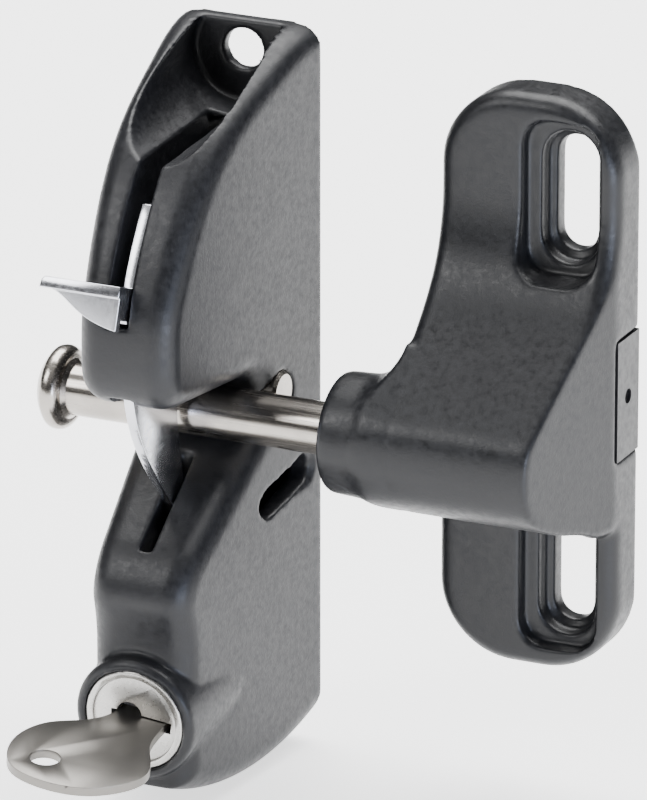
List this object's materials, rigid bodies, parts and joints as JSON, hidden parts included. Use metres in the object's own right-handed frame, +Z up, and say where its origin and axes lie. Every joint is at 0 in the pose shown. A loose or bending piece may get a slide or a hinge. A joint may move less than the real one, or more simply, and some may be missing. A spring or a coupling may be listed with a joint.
{
  "type": "gate latch",
  "caption": "Gravity gate latch: a keyed post body whose lifting tongue drops behind a round striker bar, and the slotted bracket that carries the bar on the gate.",
  "frame": {"origin": "On the latch's flat rear face, on its centre line, level with the axis of the striker bar.", "axes": "+Z is up along the post. +Y points back into the post, so the latch faces -Y. +X points to the gate, where the striker is."},
  "size_m": [0.139, 0.1031, 0.1798],
  "materials": {
    "body_polymer": "moulded black with a fine grain",
    "bracket_polymer": "moulded black with a fine grain",
    "cover_polymer": "smooth moulded black",
    "insert_polymer": "smooth black",
    "lever_steel": "bright satin stainless",
    "bar_steel": "polished stainless",
    "lock_zinc": "bright plated",
    "shutter_steel": "dull spring steel",
    "key_steel": "plated, lightly worn",
    "wafer_brass": "plain",
    "screw_steel": "plain",
    "bush_polymer": "natural"
  },
  "bodies": {
    "latch": {"latch_housing": "body_polymer", "rear_cover": "cover_polymer", "cover_screws": "screw_steel", "lever_pin": "screw_steel", "lever_spacer": "bush_polymer", "stop_pin": "bar_steel", "barrel_case": "lock_zinc"},
    "lever": {"latch_lever": "lever_steel"},
    "plug": {"lock_plug": "lock_zinc", "keyway_shutter": "shutter_steel", "lock_wafers": "wafer_brass", "plug_cam": "screw_steel", "cam_screw": "screw_steel"},
    "slide": {"lock_slide": "screw_steel"},
    "key": {"key": "key_steel"},
    "striker": {"striker_bracket": "bracket_polymer", "striker_bar": "bar_steel", "bracket_side_insert": "insert_polymer"}
  },
  "joints": [
    {"name": "lever_lift", "type": "hinge", "parent": "latch", "child": "lever", "pos_m": [0, -0.0075, 0.018], "axis": [-1, 0, 0], "range_deg": [0, 40]},
    {"name": "plug_turn", "type": "hinge", "parent": "latch", "child": "plug", "pos_m": [0, -0.0645, -0.0683], "axis": [0, -0.9962, -0.0872], "range_deg": [0, 90]},
    {"name": "slide_lift", "type": "slide", "parent": "latch", "child": "slide", "axis": [0, 0, 1], "range_m": [0, 0.0055]},
    {"name": "key_withdraw", "type": "slide", "parent": "plug", "child": "key", "axis": [0, -0.9962, -0.0872], "range_m": [0, 0.026]},
    {"name": "gate_gap", "type": "slide", "parent": "latch", "child": "striker", "axis": [1, 0, 0], "range_m": [-0.018, 0.011]}
  ],
  "couplings": [
    {"joint": "slide_lift", "follows": "plug_turn", "m_per_rad": 0.0035014}
  ]
}
